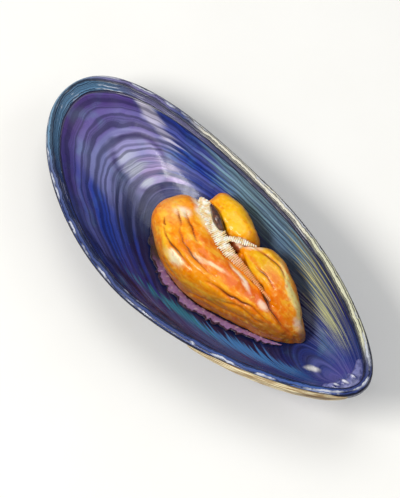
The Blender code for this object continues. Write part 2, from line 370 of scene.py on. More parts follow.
def soft_patch_group():
    """A patch of colour with a soft, uneven edge, as pigment or thin nacre lies on a surface."""
    tree, given, result = new_tree("soft patch", "ShaderNodeTree", {
        "Color": "Color", "Patch Color": "Color", "Place": "Vector", "Centre": "Vector",
        "Reach": "Vector", "Turn": 0.0, "Edge": 0.5, "Strength": 1.0, "Wander": 1.5}, {"Color": "Color"})
    noise_values = {"Vector": given["Place"], "Scale": 0.35, "Detail": 4.0}
    drift = node(tree, "ShaderNodeTexNoise", noise_values).outputs["Color"]
    centred = vector_calc(tree, "SUBTRACT", drift, (0.5, 0.5, 0.5))
    wander = vector_calc(tree, "MULTIPLY", centred, given["Wander"])
    offset = vector_calc(tree, "SUBTRACT", vector_calc(tree, "ADD", given["Place"], wander), given["Centre"])
    turned = socket(tree, "ShaderNodeVectorRotate", {"Vector": offset, "Angle": given["Turn"]},
                    rotation_type="Z_AXIS")
    scaled = vector_calc(tree, "DIVIDE", turned, given["Reach"])
    distance = node(tree, "ShaderNodeVectorMath", {0: scaled}, operation="LENGTH").outputs["Value"]
    outer = calc(tree, "ADD", 1.0, given["Edge"])
    inner = calc(tree, "SUBTRACT", 1.0, given["Edge"])
    mask = calc(tree, "MULTIPLY", ramp(tree, distance, outer, inner), given["Strength"])
    tree.links.new(blend(tree, mask, given["Color"], given["Patch Color"]), result["Color"])
    return tree


def growth_line_group():
    """Uneven lines that follow the growth rings."""
    tree, given, result = new_tree("growth lines", "ShaderNodeTree", {
        "Growth": 0.0, "Place": "Vector", "Lines": 60.0, "Wobble": 0.02, "Contrast": 0.15},
        {"Height": "Float", "Mask": "Float"})
    sway = swing(tree, cloud(tree, given["Place"], 0.11, 3.0), given["Wobble"])
    place = calc(tree, "MULTIPLY", calc(tree, "ADD", given["Growth"], sway), given["Lines"])
    line = cloud_along(tree, place, 2.0)
    low = calc(tree, "SUBTRACT", 0.5, given["Contrast"])
    high = calc(tree, "ADD", 0.5, given["Contrast"])
    tree.links.new(line, result["Height"])
    tree.links.new(ramp(tree, line, low, high), result["Mask"])
    return tree


def new_material(name, values):
    """A Principled material. Values that are the same all over are set on its own sockets."""
    made = bpy.data.materials.new(name)
    made.use_nodes = True
    for label, value in values.items():
        made.node_tree.nodes["Principled BSDF"].inputs[label].default_value = value
    return made, made.node_tree


def dress(made, color, height, strength, roughness=None, distance=0.0002):
    """Feeds a material its colour, its relief and, where it varies, its roughness."""
    tree = made.node_tree
    shader = tree.nodes["Principled BSDF"]
    relief = {"Height": height, "Distance": distance, "Strength": strength}
    tree.links.new(color, shader.inputs["Base Color"])
    tree.links.new(socket(tree, "ShaderNodeBump", relief), shader.inputs["Normal"])
    if roughness is not None:
        tree.links.new(roughness, shader.inputs["Roughness"])
    return made


def stored(tree, name, output="Fac"):
    """A stored attribute, inside a material."""
    return node(tree, "ShaderNodeAttribute", attribute_name=name).outputs[output]


def chart(tree):
    """The place on the shell, in millimetres."""
    return stored(tree, "chart", "Vector")


def group(tree, group_tree, values):
    return node(tree, "ShaderNodeGroup", values, node_tree=group_tree).outputs


def growth_lines(tree, growth, place, lines, contrast, wobble=0.02):
    values = {"Growth": growth, "Place": place, "Lines": lines, "Wobble": wobble, "Contrast": contrast}
    return group(tree, GROWTH_LINES, values)


def add_patches(tree, color, place, rows):
    """Lays soft patches over a colour, one after the other.

    A row is the colour, the centre's x and y, the reach along and across, all in millimetres,
    the turn in degrees, the edge's softness and the strength.
    """
    any_depth = 1000.0
    for patch, x, y, along, across, turn, edge, strength in rows:
        color = group(tree, SOFT_PATCH, {
            "Color": color, "Patch Color": tint(*patch), "Place": place, "Centre": (x, y, 0.0),
            "Reach": (along, across, any_depth), "Turn": math.radians(-turn), "Edge": edge,
            "Strength": strength})["Color"]
    return color


SOFT_PATCH = soft_patch_group()
GROWTH_LINES = growth_line_group()
# The skin's colours, then those of the bare shell: on the lip, and on the band inside it
SKIN_PATCHES = (
    ((48, 76, 148), -2, -6, 26, 4.2, 0, 0.5, 0.7),
    ((54, 82, 140), -18, 5, 12, 8, 0, 0.6, 0.5),
    ((40, 104, 130), 2, -9.5, 16, 2.0, 0, 0.5, 0.45),
    ((44, 82, 136), 2, 10.5, 20, 3.0, -10, 0.5, 0.55),
    ((92, 78, 56), -25, 8, 4, 3.0, 0, 0.6, 0.35),
    ((70, 56, 128), -6, 12.6, 12, 1.2, -4, 0.5, 0.5),
    ((112, 98, 170), 18, 2, 11, 6.0, 0, 0.5, 0.7),
    ((186, 180, 208), 25, 0, 6.0, 4.0, 0, 0.5, 0.85),
    ((226, 222, 222), 29, 0.5, 3.2, 2.4, 0, 0.4, 0.85),
)
LIP_PATCHES = (
    ((112, 148, 178), -31, 2, 8, 9, 70, 0.35, 1.0),
    ((132, 124, 168), -25, 11, 7, 3, 20, 0.5, 0.8),
    # The gape-side lip's pale edge, brightened as a painted highlight where the rim catches the light
    ((232, 227, 208), -3, 14.5, 19, 3.2, -8, 0.25, 1.0),
    ((222, 220, 186), 19, 9.5, 13, 2.8, -28, 0.3, 0.95),
    ((120, 130, 168), -15, -8.6, 14, 1.4, -16, 0.6, 0.5),
    ((60, 96, 168), 22, -6, 12, 2.6, 18, 0.5, 0.7),
    ((46, 54, 110), 31, 0, 3, 4, 0, 0.5, 0.8),
)
BAND_PATCHES = (
    ((92, 132, 166), -30, 3, 9, 10, 60, 0.4, 1.0),
    ((150, 146, 186), -19, 12.5, 9, 2.4, 4, 0.5, 0.85),
    ((128, 136, 170), 2, 13, 14, 2.6, -8, 0.4, 0.8),
    ((70, 92, 142), 18, 8.5, 9, 2.6, -26, 0.4, 0.8),
    ((58, 80, 148), -8, -10, 18, 2.2, 0, 0.5, 0.8),
)
INK = (14, 17, 38)


def shell_skin():
    """Blue-black skin outside, and the paler band of bare shell round the lip, with painted highlights
    streaked along the lip.
    """
    made, tree = new_material("shell skin", {
        "Coat Weight": 0.16, "Coat Roughness": 0.08, "Specular IOR Level": 0.12})
    place, growth = chart(tree), stored(tree, "growth")
    coarse = growth_lines(tree, growth, place, 26.0, 0.16)
    fine = growth_lines(tree, growth, place, 120.0, 0.2)
    skin = add_patches(tree, tint(18, 24, 58), place, SKIN_PATCHES)
    skin = lay(tree, skin, (12, 15, 36), coarse["Mask"], 0.85)
    skin = lay(tree, skin, (104, 122, 174), fine["Mask"], 0.3)
    streak = cloud(tree, stored(tree, "ray", "Vector"), 14.0, 4.0)
    skin = lay(tree, skin, (82, 72, 146), ramp(tree, streak, 0.52, 0.75), 0.4)
    nicks = ramp(tree, cloud(tree, place, 1.3, 6.0), 0.64, 0.72)
    toward_beak = ramp(tree, axis(tree, place, "X"), 0.0, 26.0, 0.15, 1.0)
    skin = lay(tree, skin, (170, 172, 196), calc(tree, "MULTIPLY", nicks, toward_beak), 0.8)

    drift = cloud(tree, place, 0.35, 3.0)
    ragged = cloud(tree, place, 2.2, 4.0)
    wander = calc(tree, "MULTIPLY_ADD", drift, 0.9, calc(tree, "MULTIPLY", ragged, 0.3))
    uneven = calc(tree, "ADD", stored(tree, "lip"), calc(tree, "SUBTRACT", wander, 0.6))
    layers = growth_lines(tree, uneven, place, 5.4, 0.06, 0.7)
    glint_lines = growth_lines(tree, uneven, place, 2.6, 0.06, 1.4)
    lip = add_patches(tree, tint(56, 72, 128), place, LIP_PATCHES)
    band = add_patches(tree, tint(46, 62, 126), place, BAND_PATCHES)
    bare = blend(tree, ramp(tree, uneven, -0.25, 0.1), band, lip)
    bare = lay(tree, bare, INK, layers["Mask"], 0.88)
    # Painted highlights: pale streaks along the bare shell round the lip
    glint_streaks = calc(tree, "MULTIPLY", ramp(tree, glint_lines["Mask"], 0.25, 0.05), ramp(tree, drift, 0.45, 0.6))
    bare = lay(tree, bare, (206, 210, 222), glint_streaks, 0.8)
    inner_line = calc(tree, "MULTIPLY", ramp(tree, uneven, -0.5, -0.2), ramp(tree, uneven, 0.12, -0.1))
    bare = lay(tree, bare, INK, inner_line, 0.92)
    bare = lay(tree, bare, INK, ramp(tree, uneven, 1.0, 1.25), 0.95)

    grain = cloud(tree, place, 5.0, 6.0)
    height = calc(tree, "ADD", fine["Height"], calc(tree, "MULTIPLY", grain, 0.3))
    height = calc(tree, "MULTIPLY_ADD", layers["Height"], 0.8, height)
    color = blend(tree, ramp(tree, uneven, 1.4, 1.9), bare, skin)
    return dress(made, color, height, 0.5, ramp(tree, grain, 0.3, 0.75, 0.24, 0.46))


def make_shell_wall():
    columns, inner_rows, outer_rows, lip_rows = 240, 50, 170, 9
    inside, inner_growth, inner_turn, inner_gap = bowl_grid(inner_rows, columns, LIP_RADIUS)
    fine, *facts = bowl_grid(outer_rows, columns, LIP_RADIUS)
    outside = (fine - inward_normals(fine) * WALL)[::-1]
    outer_growth, outer_turn, outer_gap = (fact[::-1] for fact in facts)

    upward = inside[-1] - inside[-2]
    upward *= LIP_RADIUS / np.linalg.norm(upward, axis=1, keepdims=True)
    angles = np.pi * np.arange(1, lip_rows + 1) / (lip_rows + 1)
    middle, half = (inside[-1] + outside[0]) / 2, (outside[0] - inside[-1]) / 2
    lip = np.stack([middle - half * np.cos(angle) + upward * np.sin(angle) for angle in angles])
    across_lip = np.linspace(-LIP_RADIUS, WALL + LIP_RADIUS, lip_rows + 2)[1:-1]

    pole = ring_points(np.array(0.0), np.array(0.0))
    pole_out = pole - inward_normals(fine)[0].mean(axis=0) * WALL
    rings = np.concatenate([inside, lip, outside])
    lip_shape = (lip_rows, columns)
    growth = np.concatenate([inner_growth, np.ones(lip_shape), outer_growth])
    turn = np.concatenate([inner_turn, np.broadcast_to(outer_turn[0], lip_shape), outer_turn])
    lip_rings = np.broadcast_to(across_lip[:, None], lip_shape)
    lip_place = np.concatenate([-inner_gap, lip_rings, WALL + outer_gap])
    away = np.linalg.norm(outside[..., :2] - pole[:2], axis=2)
    off_lip = np.clip((outer_gap - LIP_RADIUS) / (2 * LIP_RADIUS), 0, 1)
    ridge = np.minimum(1, away / (INNER_LENGTH / 2)) * off_lip
    ridge = np.concatenate([np.zeros((inner_rows + lip_rows, columns)), ridge])
    ray = [with_ends(values) for values in (np.cos(turn), np.sin(turn), growth)]
    attributes = {
        "growth": with_ends(growth),
        "ridge": with_ends(ridge),
        "lip": with_ends(lip_place, lip_place[0].min(), lip_place[-1].max()) / MM,
        "ray": np.stack(ray, axis=1),
    }
    mesh = ring_mesh("shell_wall", rings, pole, pole_out, attributes)
    return bake_nodes("shell_wall", mesh, growth_ridge_tree(), {"Material": shell_skin()})


def lying_matrix(piece):
    """How the shell lies: tipped as the CAD's is, and set on the CAD shell's place."""
    tipped = Euler((HINGE_DROOP, -TAIL_DROOP, 0)).to_matrix().to_4x4()
    points = read_points(piece.data) @ np.array(tipped.to_3x3()).T
    low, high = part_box("shell")
    middle = (points.min(axis=0) + points.max(axis=0)) / 2
    across = [(low[side] + high[side]) / 2 - middle[side] for side in (0, 1)]
    return Matrix.Translation((*across, high[2] - points[:, 2].max())) @ tipped


def lay_down(piece, node_name):
    """Charts a piece in its shell's millimetres, lays it with the shell and signs it in.
    """
    put_attribute(piece.data, "chart", read_points(piece.data) / MM)
    piece.data.transform(LYING)
    points = read_points(piece.data)
    points[:, 2] = np.maximum(points[:, 2], 0.0)
    write_points(piece.data, points)
    piece.data.shade_smooth()
    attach(piece, "root")
    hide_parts(node_name)


shell_wall = make_shell_wall()
LYING = lying_matrix(shell_wall)
lay_down(shell_wall, "shell")


# Nacre
# The glossy lining of the bowl, laid down by the mantle as far as its edge reached. It leaves a
# dark band of bare shell inside the lip, and dips where the closing muscle was fixed to it.
NACRE_LIFT = 0.00014
NACRE_ROOT = 0.00025
NACRE_LEAST = 0.00002
NACRE_BAND = 0.0005
NACRE_TAIL_BAND = 0.0011
NACRE_RAGGED = 0.00018
NACRE_TAPER = 0.0012
SCAR_DEPTH = 0.00010
# The closing muscle's mark, in millimetres: where its middle is and how far it reaches
SCAR_PLACE = (-18.3, 5.4)
SCAR_REACH = (4.6, 3.4)
# Its outer end, its slope and the width of the line round it, as shares of that reach
SCAR_END = 1.15
SCAR_SLOPE = 0.3
SCAR_LINE = 0.1
NACRE_PATCHES = (
    ((34, 54, 136), -4, 1, 24, 9, 0, 0.5, 0.9),
    ((34, 62, 160), -10, 10.5, 10, 3, -6, 0.5, 0.95),
    ((116, 120, 172), -21.5, 4, 10, 6.6, -10, 0.4, 1.0),
    ((84, 54, 134), -29, 3, 3.8, 8, -20, 0.5, 0.95),
    ((84, 60, 142), -23, -3.2, 6, 1.6, -28, 0.5, 0.75),
    ((84, 56, 140), -22.5, 9.0, 7, 1.3, -14, 0.5, 0.8),
    # The closing muscle's pale mark, with a painted highlight laid in it
    ((160, 154, 206), -18.6, 5.6, 4.9, 3.6, -10, 0.35, 0.85),
    ((206, 212, 222), -18.8, 4.4, 1.7, 1.5, 0, 0.6, 0.85),
    ((196, 172, 222), -16.0, 6.4, 2.2, 1.7, 0, 0.6, 0.7),
    # Painted highlight: a white streak near the rim at the tail's gape side
    ((226, 220, 236), -22.5, 11.2, 5.4, 0.8, -12, 0.5, 0.9),
    ((34, 66, 168), -13, -5.4, 10, 1.7, -16, 0.5, 0.85),
    ((132, 172, 200), 1.5, 11.2, 12, 1.9, -9, 0.45, 1.0),
    ((150, 166, 192), 14.5, 6.6, 8, 0.7, -25, 0.5, 0.9),
    ((30, 44, 100), 8, -9.2, 12, 0.9, 12, 0.5, 0.9),
    ((70, 62, 146), 28.5, -0.5, 3.2, 3, 0, 0.5, 0.8),
)
# Painted shade: deep navy round and under where the meat lies, with dark lines and the streaks of paler
# nacre that show through it
SHADE_AND_STREAK_PATCHES = (
    ((14, 20, 54), 2.5, 0.8, 18.5, 8.2, -2, 0.3, 0.9),
    ((14, 22, 66), -12.0, -3.0, 9.0, 1.2, -34, 0.6, 0.75),
    ((16, 22, 60), 2.0, -10.2, 18.0, 0.5, -3, 0.5, 0.85),
    ((18, 24, 62), 16.0, 8.6, 9.0, 0.4, -25, 0.5, 0.85),
    ((36, 62, 158), -12.0, -5.6, 9.0, 1.3, -18, 0.6, 0.7),
    ((44, 150, 180), 3.5, -7.4, 7.5, 0.7, 8, 0.5, 0.9),
    ((78, 112, 176), 8.0, -8.6, 9.0, 0.5, 10, 0.5, 0.8),
    ((70, 146, 216), 14.5, -5.2, 8.5, 1.0, 16, 0.45, 0.95),
    ((132, 176, 196), 1.5, 11.4, 12.0, 1.2, -9, 0.5, 0.75),
    ((96, 128, 164), 9.0, 9.4, 9.0, 0.6, -16, 0.5, 0.8),
    ((222, 224, 160), 17.2, 7.7, 7.5, 0.7, -25, 0.4, 0.95),
)
# The beak's pale spot, whitened further as a painted highlight
BEAK_SPOT = (((246, 244, 238), 23.4, -0.6, 1.0, 0.45, 10, 0.7, 0.9),)


def nacre_finish():
    """Lilac and blue, drawn out along the growth lines into streaks nearer the beak, with painted highlights
    and painted shade round the meat.
    """
    made, tree = new_material("nacre", {
        "Coat Weight": 0.22, "Coat Roughness": 0.1, "Specular IOR Level": 0.28})
    place, growth = chart(tree), stored(tree, "growth")
    slip = cloud_along(tree, calc(tree, "MULTIPLY", growth, 46.0), 3.0)
    pull = ramp(tree, axis(tree, place, "X"), -24.0, -10.0, 3.0, 16.0)
    streaks = vector_calc(tree, "ADD", place, vector_of(tree, swing(tree, slip, pull), 0.0, 0.0))
    color = add_patches(tree, tint(36, 54, 130), streaks, NACRE_PATCHES)
    lines = growth_lines(tree, growth, place, 60.0, 0.12, 0.07)
    bands = growth_lines(tree, growth, place, 17.0, 0.12, 0.16)
    color = lay(tree, color, (132, 132, 190), bands["Mask"], 0.28)
    color = lay(tree, color, (64, 36, 112), stored(tree, "scar_edge"), 0.7)
    hue = cloud(tree, place, 0.3, 3.0)
    color = lay(tree, color, (110, 180, 186), ramp(tree, hue, 0.52, 0.78), 0.2)
    # Painted shade round the meat, with its dark lines and pale streaks
    color = add_patches(tree, color, streaks, SHADE_AND_STREAK_PATCHES)
    color = add_patches(tree, color, place, BEAK_SPOT)
    near_rim = ramp(tree, growth, 0.45, 0.95, 0.3, 1.0)
    color = lay(tree, color, (20, 20, 58), calc(tree, "MULTIPLY", lines["Mask"], near_rim), 0.7)
    color = lay(tree, color, (18, 18, 48), ramp(tree, stored(tree, "from_edge"), 0.55, 0.15), 0.95)
    ripple = cloud(tree, place, 0.9, 2.0)
    height = calc(tree, "MULTIPLY_ADD", lines["Height"], 0.12, ripple)
    return dress(made, color, height, 0.18, ramp(tree, ripple, 0.3, 0.7, 0.26, 0.38))


def wrinkle(points, size, seed):
    """Smooth noise of about the given size at each point, from -1 to 1."""
    return np.array([noise.noise(Vector(point) / size + Vector((seed, 0, 0))) for point in points])


def make_nacre():
    columns, top_rows, root_rows = 220, 120, 12
    turn = turns_round(columns)
    at_tail = 0.5 - 0.5 * np.cos(turn)
    ragged = np.array([noise.noise(Vector((math.cos(t), math.sin(t), 0)) * 5) for t in turn])
    inset = LIP_RADIUS + NACRE_BAND + NACRE_TAIL_BAND * at_tail ** 2 + NACRE_RAGGED * ragged
    top, growth, _, gap = bowl_grid(top_rows, columns, inset)
    root, root_growth, _, _ = bowl_grid(root_rows, columns, inset)
    normals = inward_normals(top)
    root = (root - inward_normals(root) * NACRE_ROOT)[::-1]
    taper = np.clip((gap - inset) / NACRE_TAPER, 0, 1) ** 0.6
    across = np.linalg.norm((top[..., :2] / MM - SCAR_PLACE) / SCAR_REACH, axis=2)
    scar = np.clip((SCAR_END - across) / SCAR_SLOPE, 0, 1)
    broken = np.clip(1.2 + wrinkle(top.reshape(-1, 3), 0.0035, 2.0).reshape(across.shape) * 2, 0, 1)
    edge = np.exp(-((across - 1) / SCAR_LINE) ** 2) * broken
    lift = NACRE_LIFT * taper - SCAR_DEPTH * scar + 0.5 * SCAR_DEPTH * edge
    top = top + normals * np.maximum(lift, NACRE_LEAST)[..., None]
    pole = ring_points(np.array(0.0), np.array(0.0))
    up = normals[0].mean(axis=0)
    plain = np.zeros(root.shape[:2])
    attributes = {
        "growth": with_ends(np.concatenate([growth, root_growth[::-1]])),
        "from_edge": with_ends(np.concatenate([(gap - inset) / MM, plain])),
        "scar_edge": with_ends(np.concatenate([edge, plain])),
    }
    rings = np.concatenate([top, root])
    mesh = ring_mesh("nacre", rings, pole + up * NACRE_LIFT, pole - up * NACRE_ROOT, attributes)
    return new_object("nacre", mesh, nacre_finish())


nacre = make_nacre()
lay_down(nacre, "shell")


# Ligament
# The springy golden-brown strip that joined this valve to its other half. It is grown to the
# outside of the hinge edge beside the beak, thin at both ends, with fine lines along it.
LIGAMENT_TURNS = (1.935, 1.60)
LIGAMENT_HALF_THICKNESS = 0.0005
LIGAMENT_HALF_HEIGHT = 0.0009
LIGAMENT_DROP = 0.0010
LIGAMENT_SUNK = 0.0001
STRAND_STEP = 0.012


def ligament_finish():
    """Golden fibres with brown parts, dark on the side that is grown to the shell."""
    made, tree = new_material("ligament", {
        "Roughness": 0.5, "Coat Weight": 0.15, "Coat Roughness": 0.3})
    strand = stored(tree, "strand", "Vector")
    fibre = cloud(tree, strand, 6.0, 5.0)
    color = blend(tree, ramp(tree, fibre, 0.4, 0.6), tint(146, 108, 48), tint(238, 226, 186))
    color = lay(tree, color, (88, 62, 36), ramp(tree, cloud(tree, strand, 1.1, 2.0), 0.45, 0.7), 0.85)
    color = lay(tree, color, (26, 20, 26), ramp(tree, axis(tree, strand, "Y"), 0.1, -0.45))
    return dress(made, color, fibre, 0.6)


def make_ligament():
    points_round, stations = 28, 120
    start, end = (turn * np.pi for turn in LIGAMENT_TURNS)
    share = (np.arange(stations) + 0.5) / stations
    rim = ring_points(np.ones(stations), start + (end - start) * share)
    ahead = np.gradient(rim, axis=0)
    outward = np.stack([-ahead[:, 1], ahead[:, 0], np.zeros(stations)], axis=1)
    outward /= np.linalg.norm(outward, axis=1, keepdims=True)
    swell = np.sqrt(1 - (2 * share - 1) ** 2)
    angle = 2 * np.pi * np.arange(points_round) / points_round
    rings, strands = [], []
    for station, (edge, way, size) in enumerate(zip(rim, outward, swell)):
        middle = edge + way * (WALL - LIGAMENT_SUNK)
        wave = 1 + 0.06 * noise.noise(Vector((station * 0.11, 4.0, 0)))
        out = np.cos(angle) * LIGAMENT_HALF_THICKNESS * size * wave
        up = np.sin(angle) * LIGAMENT_HALF_HEIGHT * size - LIGAMENT_DROP
        rings.append(middle + way * out[:, None] + np.array([0, 0, 1.0]) * up[:, None])
        along = np.full(points_round, station * STRAND_STEP)
        strands.append(np.stack([along, np.cos(angle), np.sin(angle)], axis=1))
    strand = np.concatenate([[strands[0][0]], *strands, [strands[-1][0]]])
    first, last = rings[0].mean(axis=0), rings[-1].mean(axis=0)
    mesh = ring_mesh("ligament_strip", np.stack(rings), first, last, {"strand": strand})
    return new_object("ligament_strip", mesh, ligament_finish())


ligament = make_ligament()
lay_down(ligament, "ligament")


# Meat
# The cooked mantle: a long plump lobe on the hinge side, a round one and a front one on the
# gape side, grown together below. Each lobe is drawn along its stations, all are fused and
# softened, and the creases that cooking drew into them are pressed in.
LOBE_ROOT = 0.0012
LOBE_FULLNESS = 0.7
MEAT_CLEARANCE = 0.0003
MEAT_VOXEL = 0.00021
# Stations of a lobe: x, y, half its width and the level of its crest, in metres
HINGE_LOBE = (
    (-0.0062, 0.0020, 0.0043, -0.0016),
    (-0.0026, 0.0004, 0.0046, -0.0009),
    (0.0014, -0.0009, 0.0039, -0.0010),
    (0.0054, -0.0008, 0.0031, -0.0015),
    (0.0098, -0.0003, 0.0023, -0.0024),
    (0.0140, 0.0002, 0.0016, -0.0038),
    (0.0172, 0.0012, 0.0009, -0.0062),
)
GAPE_LOBE = (
    (-0.0032, 0.0076, 0.0022, -0.0020),
    (-0.0004, 0.0071, 0.0026, -0.0012),
    (0.0030, 0.0063, 0.0021, -0.0017),
)
FRONT_LOBE = (
    (0.0052, 0.0044, 0.0017, -0.0023),
    (0.0082, 0.0050, 0.0029, -0.0017),
    (0.0116, 0.0042, 0.0026, -0.0020),
    (0.0150, 0.0030, 0.0019, -0.0034),
    (0.0180, 0.0020, 0.0009, -0.0062),
)
GILL_BED = (
    (-0.0048, 0.0062, 0.0010, -0.0026),
    (-0.0016, 0.0042, 0.0011, -0.0022),
    (0.0026, 0.0026, 0.0011, -0.0022),
    (0.0072, 0.0019, 0.0012, -0.0028),
    (0.0116, 0.0018, 0.0014, -0.0034),
    (0.0152, 0.0015, 0.0010, -0.0050),
)
# Creases: width and depth, then the points along each, in millimetres
CREASES = (
    (0.20, 0.34, ((-6.4, -0.8), (-5.2, -1.9), (-2.9, -2.6), (-0.4, -2.9), (2.0, -3.2))),
    (0.24, 0.46, ((-4.4, 1.0), (-3.3, -0.3), (-1.9, -1.1), (0.3, -1.5), (2.9, -2.0), (5.6, -1.8))),
    (0.20, 0.36, ((-5.6, 3.1), (-3.8, 1.9), (-1.8, 0.9), (0.6, 0.0))),
    (0.18, 0.30, ((-6.8, 2.5), (-5.4, 1.5), (-3.8, 0.6))),
    (0.16, 0.22, ((-7.4, 0.2), (-6.4, -0.6), (-5.6, -0.9))),
    (0.30, 0.45, ((-4.6, 6.6), (-2.0, 5.2), (0.0, 4.7), (1.8, 3.9), (2.9, 2.6))),
    (0.30, 0.55, ((0.6, 4.1), (2.4, 4.6), (4.6, 5.4), (6.2, 6.5))),
    (0.28, 0.55, ((3.8, 4.1), (7.2, 2.5), (9.4, 2.1), (12.1, 1.6), (13.7, 0.8), (16.6, 0.5), (19.2, 0.6))),
    (0.18, 0.26, ((5.6, 5.5), (8.5, 5.9), (11.0, 5.9), (13.0, 5.0))),
    (0.16, 0.20, ((8.0, 3.6), (10.4, 3.4), (13.0, 2.7))),
    (0.18, 0.22, ((4.2, -3.1), (8.0, -2.3), (12.0, -1.1), (15.0, -0.6))),
)
CREASE_SWAY = 0.25
SWAY_SIZE = 0.0016
# The swollen shoulder beside a crease: its place, width and height, as shares of the crease's own
SHOULDER_PLACE = 2.6
SHOULDER_WIDTH = 1.7
SHOULDER_HEIGHT = 0.3
# Folds round the sides: how far below the rim each runs, its width and depth, in millimetres
SIDE_FOLDS = ((-4.3, 0.30, 0.26), (-7.0, 0.42, 0.36))
FOLD_WANDER = 1.8
FOLD_SIZE = 0.0045
# Puckers over the whole: height in millimetres, size in metres and seed
PUCKERS = ((0.16, 0.0022, 7.0), (0.05, 0.0007, 3.0))
# The flesh's orange and yellow tones, pale gill tissue and mantle edge, and painted highlights
MEAT_TONES_AND_HIGHLIGHTS = (
    ((236, 116, 0), 6.4, 0.2, 6.4, 1.7, 2, 0.5, 0.95),
    ((214, 92, 0), 12.5, 0.4, 4.8, 0.9, 6, 0.5, 0.85),
    # Painted highlights: pale spots on the hinge lobe's tail end, and a white one low on its hinge side
    ((250, 176, 90), -6.4, 1.6, 2.2, 1.8, 0, 0.6, 0.7),
    ((252, 232, 204), -5.6, 2.4, 1.2, 0.9, 20, 0.5, 0.9),
    ((255, 242, 200), -1.6, -3.4, 2.0, 0.55, -2, 0.4, 0.95),
    # The gape and front lobes' tones, the pale mantle edge, tip and gill tissue
    ((254, 190, 8), 0.2, 7.2, 3.8, 2.6, -14, 0.4, 0.95),
    ((224, 172, 0), 8.6, 4.6, 3.2, 2.4, -16, 0.5, 0.9),
    ((232, 118, 0), 13.4, 2.9, 3.8, 1.1, -24, 0.5, 0.85),
    ((240, 230, 150), 14.6, 4.4, 4.6, 0.45, -28, 0.4, 0.9),
    ((250, 240, 210), 18.0, 2.2, 0.9, 0.6, -20, 0.5, 0.85),
    ((252, 240, 208), 4.4, 5.1, 2.6, 0.5, 26, 0.45, 0.9),
    ((252, 242, 220), -3.8, 4.4, 3.4, 0.8, -26, 0.45, 0.9),
    # Painted highlights: cream strokes along the hinge lobe's crest and toward the front
    ((255, 236, 190), 3.1, -1.0, 2.8, 0.35, 14, 0.5, 0.8),
    ((255, 244, 220), 7.7, 0.8, 2.3, 0.35, -15, 0.5, 0.85),
    ((252, 222, 196), 12.9, 0.3, 0.8, 0.5, 0, 0.5, 0.8),
    # A yellow tone at the hinge lobe's edge
    ((252, 196, 40), -4.6, -2.2, 2.4, 0.7, -38, 0.5, 0.8),
)


def smooth_path(stations, steps):
    """A Catmull-Rom curve through the stations, whose numbers all run smoothly together."""
    rows = np.array(stations, float)
    rows = np.vstack([2 * rows[0] - rows[1], rows, 2 * rows[-1] - rows[-2]])
    path = []
    for before, start, end, after in zip(rows, rows[1:], rows[2:], rows[3:]):
        for step in range(steps):
            t = step / steps
            bend = 2 * before - 5 * start + 4 * end - after
            twist = 3 * start - before - 3 * end + after
            path.append(start + 0.5 * t * (end - before + t * (bend + t * twist)))
    path.append(rows[-2])
    return np.array(path)


def round_end(last, inner):
    """The sections that close a lobe in a round end, the smallest first."""
    steps, start = 8, 0.4
    way = (last[:2] - inner[:2]) / np.linalg.norm(last[:2] - inner[:2])
    angles = (np.arange(steps) + start) / steps * np.pi / 2
    return [(last[:2] + way * last[2] * math.cos(a), *last[2:], math.sin(a)) for a in angles]


def lobe_mesh(name, lobes, underside):
    """Plump lobes with round ends. Their roots reach a little below the nacre, or to the underside."""
    steps, points_round = 10, 40
    angle = 2 * np.pi * np.arange(points_round) / points_round
    wide = np.sign(np.cos(angle)) * np.abs(np.cos(angle)) ** LOBE_FULLNESS
    high = np.sign(np.sin(angle)) * np.abs(np.sin(angle)) ** LOBE_FULLNESS
    shape = bmesh.new()
    for stations in lobes:
        path = smooth_path(stations, steps)
        sections = round_end(path[0], path[1]) + [(row[:2], *row[2:], 1.0) for row in path]
        sections += round_end(path[-1], path[-2])[::-1]
        loops = []
        for number, (centre, half, crest, share) in enumerate(sections):
            ahead = sections[min(len(sections) - 1, number + 1)][0] - sections[max(0, number - 1)][0]
            ahead = ahead / np.linalg.norm(ahead)
            aside = np.array([-ahead[1], ahead[0]])
            root = underside or -float(bowl_depth(*centre)) - LOBE_ROOT
            level = centre + aside * (half * share * wide)[:, None]
            height = (crest + root) / 2 + (crest - root) / 2 * share * high
            loops.append([shape.verts.new((*place, z)) for place, z in zip(level, height)])
        for near, far in zip(loops, loops[1:]):
            for point in range(points_round):
                after = (point + 1) % points_round
                shape.faces.new((near[point], near[after], far[after], far[point]))
        shape.faces.new(loops[0])
        shape.faces.new(loops[-1])
    bmesh.ops.recalc_face_normals(shape, faces=shape.faces)
    mesh = bpy.data.meshes.new(name)
    shape.to_mesh(mesh)
    shape.free()
    return mesh


def make_lobes(name, lobes, voxel, passes, finish, underside=None):
    """Makes lobes that cross each other one soft body."""
    piece = new_object(name, lobe_mesh(name, lobes, underside))
    one = piece.modifiers.new("one body", "REMESH")
    one.mode = "VOXEL"
    one.voxel_size = voxel
    soft = piece.modifiers.new("softened", "SMOOTH")
    soft.iterations = passes
    harden(piece)
    piece.data.materials.append(finish)
    return piece


def distance_to(line, points):
    """How far each point is from a line seen from above, and where along the line, from 0 to 1."""
    line = np.array(line, float)
    lengths = np.linalg.norm(np.diff(line, axis=0), axis=1)
    nearest, along, passed = np.full(len(points), np.inf), np.zeros(len(points)), 0.0
    for start, end, length in zip(line, line[1:], lengths):
        way = end - start
        share = np.clip(((points - start) @ way) / (way @ way), 0, 1)
        away = np.linalg.norm(points - start - share[:, None] * way, axis=1)
        along = np.where(away < nearest, (passed + share * length) / lengths.sum(), along)
        nearest = np.minimum(nearest, away)
        passed += length
    return nearest, along


def point_normals(mesh):
    normals = np.empty(3 * len(mesh.vertices), dtype=np.float32)
    mesh.vertex_normals.foreach_get("vector", normals)
    return normals.reshape(-1, 3).astype(float)


